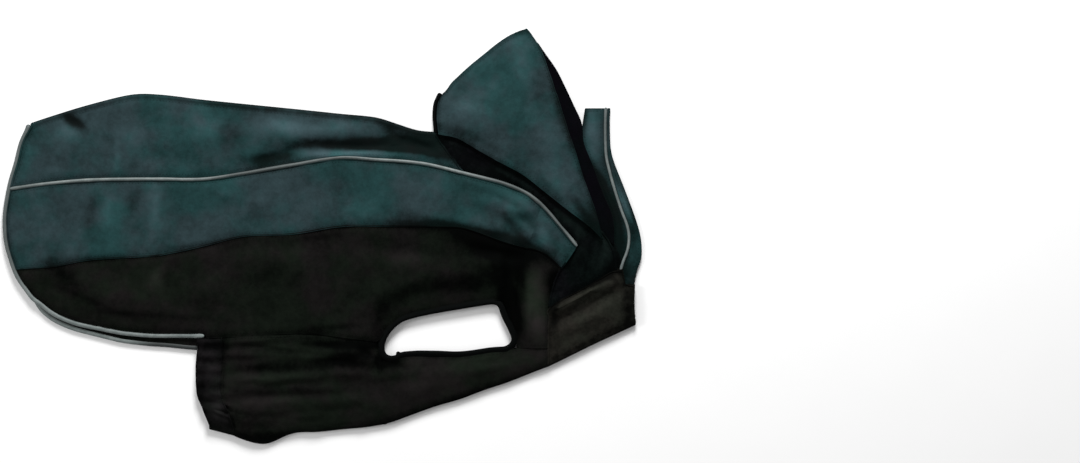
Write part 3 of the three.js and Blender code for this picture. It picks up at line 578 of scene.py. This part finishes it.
# The same painted light and shade on the neck bands under the hood
NECK_PAINTED_SHADING = [
    (452, 291, 30, 5, -30, -0.15),
    (430, 300, 20, 6, -20, 0.25),
    (500, 262, 60, 5, -38, -0.2),
    (566, 222, 18, 10, -60, 0.35),
    (556, 200, 16, 7, 70, -0.5),
    (571, 196, 18, 5, 68, 0.5),
    (584, 190, 20, 6, 75, -0.4),
    (600, 205, 18, 5, 115, 0.6),
    (598, 182, 14, 8, 60, 0.35),
    (612, 178, 10, 5, 40, -0.4),
    (548, 178, 12, 6, 65, -0.5),
]
# The same painted light and shade on the hood
HOOD_PAINTED_SHADING = [
    (523, 393, 24, 16, 90, 0.16),
    (519, 412, 10, 6, 0, -0.35),
    (470, 392, 50, 4, 38, -0.3),
    (486, 356, 26, 12, 20, 0.2),
    (452, 330, 24, 12, 30, 0.16),
    (425, 344, 26, 4, 78, -0.45),
    (590, 222, 22, 9, 118, -0.65),
    (600, 212, 14, 8, 110, -0.4),
    (562, 262, 30, 9, 125, 0.1),
    (540, 262, 40, 4, 142, -0.2),
    (470, 308, 34, 4, 150, -0.2),
    (448, 312, 20, 5, -25, -0.3),
    (548, 300, 30, 10, 105, 0.1),
    (556, 336, 40, 5, 110, -0.3),
    (572, 290, 40, 5, 108, -0.15),
]
# The same painted light and shade on the collar beside the hood
COLLAR_PAINTED_SHADING = [
    (590, 318, 20, 8, 90, 0.4),
    (583, 326, 12, 4, 90, -0.5),
    (592, 300, 12, 6, 90, 0.1),
    (590, 284, 12, 6, 100, 0.3),
    (598, 262, 30, 6, 112, -0.5),
    (606, 236, 30, 7, 112, -0.9),
    (614, 206, 24, 7, 100, -1.1),
    (622, 240, 22, 3, 115, 0.6),
    (632, 214, 30, 4, 95, -0.5),
    (628, 172, 14, 9, 95, -0.45),
]
# Painted shade on the piping, in the same columns, where 1 is the full light grey
PIPING_PAINTED_SHADE = [
    (18, 260, 24, 20, 0, -0.35),
    (230, 266, 30, 20, 0, -0.35),
    (272, 272, 40, 20, 0, -0.5),
    (330, 284, 36, 20, 0, -0.4),
    (500, 256, 30, 14, -28, -0.5),
    (545, 222, 40, 16, -50, -0.6),
    (589, 320, 40, 20, 90, -0.55),
    (606, 250, 34, 12, 112, -0.1),
]
# Darker patches on the hem trim along its rear edge
HEM_DARKER_PATCHES = [
    (16, 306, 60, 14, 70, -0.5),
    (2, 230, 50, 10, 90, -0.45),
    (12, 180, 30, 12, 110, -0.35),
    (60, 140, 26, 12, -35, -0.15),
]


def smooth(value, low, high):
    """0 below low and 1 above high, smooth between."""
    t = np.clip((value - low) / (high - low), 0, 1)
    return t * t * (3 - 2 * t)


def rows(columns, table):
    """The rows of a table, each by the names of its columns."""
    return [dict(zip(columns, row)) for row in table]


def patch_tone(x, y, tone_patches):
    """Sum of the listed lighter and darker patches at points of the pattern frame: painted light
    and shade on the cloth and the piping.
    """
    total = np.zeros_like(x)
    for c in rows(TONE_PATCH_COLUMNS, tone_patches):
        turn = math.radians(c["turn"])
        along = (x - c["x"]) * math.cos(turn) + (y - c["y"]) * math.sin(turn)
        across = (y - c["y"]) * math.cos(turn) - (x - c["x"]) * math.sin(turn)
        total += c["change"] * np.exp(-((along / c["reach"]) ** 2) - (across / c["width"]) ** 2)
    return total


SWAY = 0.04  # how far a crease bows sideways, as a share of its length
TAPER = 0.35  # share of its length over which it fades towards each end
END_STRENGTH = 0.35  # share of its rise that is left at the ends
END_ROUND = 1.4  # how much faster it dies out past its ends than beside them


def crease_rise(x, y, creases):
    """Sum of the creases at points of the pattern frame, in mm."""
    total = np.zeros_like(x)
    for c in rows(CREASE_COLUMNS, creases):
        dx = c["to_x"] - c["from_x"]
        dy = c["to_y"] - c["from_y"]
        length = math.hypot(dx, dy)
        along = ((x - c["from_x"]) * dx + (y - c["from_y"]) * dy) / length
        sway = SWAY * length * np.sin(math.pi * along / length + c["from_x"])
        across = ((y - c["from_y"]) * dx - (x - c["from_x"]) * dy) / length - sway
        past = np.maximum(np.maximum(-along, along - length), 0)
        inner = smooth(np.minimum(along, length - along), 0, TAPER * length)
        strength = END_STRENGTH + (1 - END_STRENGTH) * inner
        width = np.where(across > 0, c["steep"], c["soft"])
        away = np.hypot(across, past * END_ROUND)
        total += c["rise"] * strength * np.exp(-((away / width) ** 2))
    return total


def waves(x, y, seed, size, count=14):
    """Soft irregular waves from about -1 to 1 with lumps of about that size in mm."""
    draw = np.random.default_rng(seed)
    total = np.zeros_like(x)
    for _ in range(count):
        angle = draw.uniform(0, math.pi)
        turn = 2 * math.pi / (size * draw.uniform(0.7, 1.8))
        start = draw.uniform(0, 2 * math.pi)
        total += np.sin((x * math.cos(angle) + y * math.sin(angle)) * turn + start)
    return total / math.sqrt(count)


def select_only(piece):
    bpy.ops.object.select_all(action="DESELECT")
    piece.select_set(True)
    bpy.context.view_layer.objects.active = piece


def apply_modifier(piece, kind, **settings):
    select_only(piece)
    modifier = piece.modifiers.new(kind.lower(), kind)
    for key, value in settings.items():
        setattr(modifier, key, value)
    bpy.ops.object.modifier_apply(modifier=modifier.name)


MERGE = 0.00001  # m, points nearer than this are one
QUAD_BEND = 0.9  # radians, largest bend between two triangles that make a quad
QUAD_SKEW = 1.2  # radians, largest skew of that quad


def copy_of(node, name):
    """The CAD node's closed wall as a piece of its own, with quads where they fit."""
    piece = bpy.data.objects.new(name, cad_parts[node].data.copy())
    bpy.context.scene.collection.objects.link(piece)
    select_only(piece)
    bpy.ops.object.mode_set(mode="EDIT")
    bpy.ops.mesh.select_all(action="SELECT")
    bpy.ops.mesh.remove_doubles(threshold=MERGE)
    bpy.ops.mesh.normals_make_consistent(inside=False)
    bpy.ops.mesh.tris_convert_to_quads(face_threshold=QUAD_BEND, shape_threshold=QUAD_SKEW)
    bpy.ops.object.mode_set(mode="OBJECT")
    return piece


def points_of(mesh):
    """Places and normals of a mesh's points."""
    flat = np.empty(3 * len(mesh.vertices), dtype=np.float32)
    mesh.vertices.foreach_get("co", flat)
    points = flat.reshape(-1, 3).astype(np.float64)
    mesh.vertices.foreach_get("normal", flat)
    return points, flat.reshape(-1, 3).astype(np.float64)


def put_points(piece, points):
    piece.data.vertices.foreach_set("co", points.astype(np.float32).ravel())
    piece.data.update()


def subdivide(piece, levels, rounds=3):
    """Smooths a piece with a subdivision surface that still passes through its own points."""
    goal, _ = points_of(piece.data)
    cage = goal.copy()
    modifier = piece.modifiers.new("smooth", "SUBSURF")
    modifier.levels = modifier.render_levels = 1
    for _ in range(rounds):
        graph = bpy.context.evaluated_depsgraph_get()
        reached, _ = points_of(piece.evaluated_get(graph).data)
        cage += goal - reached[:len(goal)]
        put_points(piece, cage)
    modifier.levels = modifier.render_levels = levels
    select_only(piece)
    bpy.ops.object.modifier_apply(modifier=modifier.name)


# A rim lies between a top, whose normal points up by this much or more, and a side, whose
# normal points up by this much or less
TOP_LEVEL = 0.6
SIDE_LEVEL = 0.45
RIM_STEP = 2.0  # mm between points kept along it
RIM_BATCH = 64  # points of it compared at a time
FAR = 50.0  # mm, stands for no rim near


def rim_of(piece):
    """Points along the upper rims of a wall in mm: place, length run so far and heading."""
    mesh = bmesh.new()
    mesh.from_mesh(piece.data)
    left = set()
    for edge in mesh.edges:
        if len(edge.link_faces) == 2:
            up = sorted(face.normal.z for face in edge.link_faces)
            if up[1] >= TOP_LEVEL and up[0] <= SIDE_LEVEL:
                left.add(edge)
    rim = []
    run = 0.0
    while left:
        edge = min(left, key=lambda one: one.index)
        corner = edge.verts[0]
        while edge:
            left.discard(edge)
            start = corner.co / MM
            corner = edge.other_vert(corner)
            side = corner.co / MM - start
            count = max(1, math.ceil(side.length / RIM_STEP))
            heading = side.normalized()
            for i in range(count):
                at = start + side * (i / count)
                gone = run + side.length * i / count
                rim.append((at.x + ORIGIN_X, at.y + ORIGIN_Y, gone, heading.x, heading.y))
            run += side.length
            edge = next((one for one in corner.link_edges if one in left), None)
    mesh.free()
    return np.array(rim).reshape(-1, 5)


def from_rim(x, y, rim):
    """Distance of points from a rim and the length along it beside them, in mm."""
    away = np.full(x.shape, FAR)
    along = np.zeros_like(x)
    every = np.arange(len(x))
    for start in range(0, len(rim), RIM_BATCH):
        part = rim[start:start + RIM_BATCH]
        dx = x[:, None] - part[None, :, 0]
        dy = y[:, None] - part[None, :, 1]
        gap = np.hypot(dx, dy)
        near = gap.argmin(axis=1)
        ahead = dx[every, near] * part[near, 3] + dy[every, near] * part[near, 4]
        beside = np.abs(dx[every, near] * part[near, 4] - dy[every, near] * part[near, 3])
        gap = np.where(np.abs(ahead) < RIM_STEP, beside, gap[every, near])
        closer = gap < away
        away = np.where(closer, gap, away)
        along = np.where(closer, part[near, 2] + ahead, along)
    return away, along


def store(piece, name, values):
    """Keeps a number for each point of the piece, for its material to read."""
    attribute = piece.data.attributes.new(name, "FLOAT", "POINT")
    attribute.data.foreach_set("value", values.astype(np.float32))


EDGE_ROUND = 0.6  # mm that a cut edge is rounded by
EDGE_ANGLE = 0.85  # radians, least bend of an edge that is rounded
SPREAD = 0.5  # mm that padded cloth swells sideways at its edges
# Upward parts of the normals where a face starts to be a top, is one, and looks down
TOP_STARTS = 0.05
TOP_FULL = 0.5
LOOKS_DOWN = -0.3
LIFT_BLEND = 1.6  # mm of height over which the creases set in
LUMP_SIZE = 34  # mm, of the broad soft waves
SMALL_LUMP_SIZE = 15  # mm, of the small ones
LUMP_SHARE = 0.7
SMALL_LUMP_SHARE = 0.3
SMALL_SEED = 50  # from the broad waves' seed to that of the small ones
DIP_WIDTH = 4.0  # mm from a seam over which the cloth sinks towards it
RIM_SHADE = 0.2  # painted shade in the groove along a seam
RIM_SHADE_WIDTH = 2.6  # mm
RELIEF_HEIGHT = 6.0  # mm from a trough to a ridge for the full change of painted light and shade
DULLEST = -0.3  # limits of the tone
BRIGHTEST = 1.8
NO_LIFT = 900.0  # mm, above every part: a sheet whose creases are pressed flat
LOWER_LAYER = 3.15  # mm above the surface, where the upper layer stops
WALL_SPARE = 1.2  # mm that the top of a wall can sink before its inner side follows


def cloth(node, look, levels, creases, tone_patches, lump, dip, lift_from, seed, shade):
    """A panel of padded cloth on its CAD wall: rounded at the seams, with creases and soft
    waves of lump mm where it lies above lift_from, and sunk by dip mm along the seams. Its
    tone attribute holds painted light and shade: lighter on the creases' ridges, darker in
    their troughs and along the seams, the listed patches, and shade taken off all over."""
    piece = copy_of(node, node + "_cloth")
    rim = rim_of(piece)
    apply_modifier(
        piece, "BEVEL", width=EDGE_ROUND * MM, segments=2, limit_method="ANGLE",
        angle_limit=EDGE_ANGLE,
    )
    subdivide(piece, levels)
    points, normals = points_of(piece.data)
    x = points[:, 0] / MM + ORIGIN_X
    y = points[:, 1] / MM + ORIGIN_Y
    z = points[:, 2] / MM
    on_top = smooth(z, lift_from, lift_from + LIFT_BLEND)
    on_top *= smooth(normals[:, 2], TOP_STARTS, TOP_FULL)
    rise = crease_rise(x, y, creases)
    # Painted light and shade: the creases' ridges lighter and their troughs darker, the listed
    # patches, and shade taken off the whole panel
    tone = rise / RELIEF_HEIGHT + patch_tone(x, y, tone_patches) - shade
    rise *= lift_from < NO_LIFT
    rise += lump * LUMP_SHARE * waves(x, y, seed, LUMP_SIZE)
    rise += lump * SMALL_LUMP_SHARE * waves(x, y, seed + SMALL_SEED, SMALL_LUMP_SIZE)
    edge, along = from_rim(x, y, rim)
    rise -= dip * np.exp(-((edge / DIP_WIDTH) ** 2))
    # painted shade in the groove along each seam
    tone -= RIM_SHADE * np.exp(-((edge / RIM_SHADE_WIDTH) ** 2))
    inside = (z > LOWER_LAYER) & (normals[:, 2] < LOOKS_DOWN)
    sunk = np.maximum(LOWER_LAYER - z, np.minimum(rise + WALL_SPARE, 0))
    points[:, 2] += (on_top * rise + np.where(inside, sunk, 0)) * MM
    sideways = np.clip(1 - np.abs(normals[:, 2]), 0, 1)
    points[:, :2] += normals[:, :2] * (sideways * SPREAD * MM)[:, None]
    put_points(piece, points)
    store(piece, "painted_tone", np.clip(0.5 + tone, DULLEST, BRIGHTEST))
    store(piece, "edge", edge)
    store(piece, "along", along)
    finish_piece(piece, node, look)
    return piece


def finish_piece(piece, node, look):
    """Gives a piece its material and its place in the row."""
    select_only(piece)
    bpy.ops.object.shade_smooth()
    piece.data.materials.clear()
    piece.data.materials.append(LOOKS[look])
    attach(piece, "root")
    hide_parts(node)


TAPE_LEVELS = 2
TAPE_DULLEST = 0.04  # limits of a tape's tone
TAPE_BRIGHTEST = 1.2
FAR_RUN_TOP = 4.0  # mm, top of the hem on the lower layer
FAR_DARKENING = 0.92  # share of the lower hem's brightness that is lost near the belly
FAR_BLEND = 34.0  # mm over which it is lost


def tape(node, look, swell, grow, far_from, tone_patches):
    """A piping, binding or trim rounded from its CAD form, wider by swell mm on each side and
    by grow mm more away from its middle. Its lower run is darker beyond far_from, and its tone
    attribute holds painted shade on the piping."""
    piece = copy_of(node, node + "_tape")
    subdivide(piece, TAPE_LEVELS)
    points, normals = points_of(piece.data)
    sideways = np.clip(1 - np.abs(normals[:, 2]), 0, 1)
    outward = points[:, :2] - (points[:, :2].min(axis=0) + points[:, :2].max(axis=0)) / 2
    outer = (normals[:, :2] * outward).sum(axis=1) > 0
    wider = sideways * (swell + grow * outer) * MM
    points[:, :2] += normals[:, :2] * wider[:, None]
    put_points(piece, points)
    x = points[:, 0] / MM + ORIGIN_X
    y = points[:, 1] / MM + ORIGIN_Y
    z = points[:, 2] / MM
    # The tone attribute: painted shade on the piping from its listed patches, the hem trim darker
    # where listed and on its lower run near the belly
    far = FAR_DARKENING * smooth(x, far_from, far_from + FAR_BLEND) * (z < FAR_RUN_TOP)
    tone = 1 + patch_tone(x, y, tone_patches) - far
    store(piece, "painted_tone", np.clip(tone, TAPE_DULLEST, TAPE_BRIGHTEST))
    finish_piece(piece, node, look)
    return piece


# The panels of cloth. BODY, UNDER and COLLAR stand for what neighbouring panels share, from
# creases to seed, so that a crease runs on over a seam.
CLOTH_COLUMNS = (
    "node", "look", "levels", "creases", "tone_patches", "lump", "dip", "lift_from", "seed", "shade",
)
BODY = (BODY_CREASES, BODY_PAINTED_SHADING, 0.45, 0.9, 4.2, 3)
UNDER = (BODY_CREASES, BODY_PAINTED_SHADING, 0.0, 0.0, NO_LIFT, 3)
COLLAR = (COLLAR_CREASES, COLLAR_PAINTED_SHADING, 0.15, 0.4, 1.6, 6)
# The last column, shade, is painted shade taken off a panel's whole tone: the neck bands lie under
# the hood
CLOTHS = [
    ("back_panel", "teal_cloth", 3, *BODY, 0.0),
    ("side_right", "teal_cloth", 3, *BODY, 0.0),
    ("side_left", "teal_cloth", 2, *UNDER, 0.0),
    ("flank_right", "black_cloth", 3, *BODY, 0.0),
    ("flank_left", "black_cloth", 2, *UNDER, 0.0),
    ("belly_panel", "black_cloth", 2, *BODY, 0.0),
    ("belly_elastic", "elastic_casing", 2, *BODY, 0.0),
    ("chest_panel", "chest_cloth", 3, *BODY, 0.0),
    ("neck_band_right", "neck_cloth", 3, NECK_CREASES, NECK_PAINTED_SHADING, 0.45, 0.9, 4.2, 3, 0.3),
    ("neck_band_left", "neck_cloth", 2, NECK_CREASES, NECK_PAINTED_SHADING, 0.0, 0.0, NO_LIFT, 3, 0.3),
    ("hood_right", "teal_cloth", 3, HOOD_CREASES, HOOD_PAINTED_SHADING, 0.5, 0.9, 6.2, 8, 0.0),
    ("hood_left", "teal_cloth", 2, HOOD_CREASES, HOOD_PAINTED_SHADING, 0.0, 0.0, NO_LIFT, 3, 0.0),
    ("hood_lining", "lining_cloth", 2, [], [], 0.2, 0.0, 3.6, 5, 0.0),
    ("collar_left", "teal_cloth", 2, *COLLAR, 0.0),
    ("collar_edge_left", "teal_cloth", 2, *COLLAR, 0.0),
]
made = {c["node"]: cloth(**c) for c in rows(CLOTH_COLUMNS, CLOTHS)}

NEVER = 900  # mm, beyond the coat
TAPE_COLUMNS = ("node", "look", "swell", "grow", "far_from", "tone_patches")
TAPES = [
    ("hood_binding", "black_binding", 0.2, 0.0, NEVER, []),
    ("piping_collar", "silver_trim", 0.0, 0.0, NEVER, PIPING_PAINTED_SHADE),
    ("piping_right", "silver_trim", 0.45, 0.0, NEVER, PIPING_PAINTED_SHADE),
    ("piping_left", "silver_trim", 0.0, 0.0, NEVER, []),
    ("leg_binding_right", "black_binding", 0.3, 2.1, NEVER, []),
    ("leg_binding_left", "black_binding", 0.3, 2.1, NEVER, []),
    ("hem_trim", "silver_trim", 0.1, 0.0, 122, HEM_DARKER_PATCHES),
]
made.update({c["node"]: tape(**c) for c in rows(TAPE_COLUMNS, TAPES)})


# Studio: a pale floor, one broad light from beyond the back and a soft fill
FLOOR_HALF = 4.0  # m, from the middle to each side
FLOOR_DROP = 0.0004  # m below the coat's underside
SKY_STRENGTH = 0.4
LIGHT_COLUMNS = ("name", "place", "size", "power")
LIGHTS = [
    ("key", (0.25, 1.75, 1.15), 0.8, 60),
    ("fill", (-1.6, 0.2, 1.3), 0.9, 15),
]


def paper_floor():
    """A wide sheet of pale paper."""
    corners = [(-FLOOR_HALF, -FLOOR_HALF), (FLOOR_HALF, -FLOOR_HALF)]
    corners += [(FLOOR_HALF, FLOOR_HALF), (-FLOOR_HALF, FLOOR_HALF)]
    mesh = bpy.data.meshes.new("floor")
    mesh.from_pydata([(x, y, -FLOOR_DROP) for x, y in corners], [], [(0, 1, 2, 3)])
    paper = Look("paper")
    cloudy = paper.noise(60, seed=9.0)
    tone = paper.blend(cloudy, colour(0.86, 0.86, 0.86), colour(0.88, 0.88, 0.88))
    mesh.materials.append(paper.finish(Base_Color=tone, Roughness=0.9, Specular_IOR_Level=0.1))
    sheet = bpy.data.objects.new("floor", mesh)
    bpy.context.scene.collection.objects.link(sheet)
    return sheet


def area_light(name, place, size, power):
    """A round light that is aimed at the middle of the coat."""
    data = bpy.data.lights.new(name, "AREA")
    data.shape = "DISK"
    data.size = size
    data.energy = power
    lamp = bpy.data.objects.new(name, data)
    lamp.location = place
    lamp.rotation_euler = (-Vector(place)).to_track_quat("-Z", "Y").to_euler()
    bpy.context.scene.collection.objects.link(lamp)


floor = paper_floor()

world = bpy.data.worlds.new("studio")
bpy.context.scene.world = world
world.use_nodes = True
world.node_tree.nodes["Background"].inputs["Color"].default_value = (1, 1, 1, 1)
world.node_tree.nodes["Background"].inputs["Strength"].default_value = SKY_STRENGTH
for light in rows(LIGHT_COLUMNS, LIGHTS):
    area_light(**light)
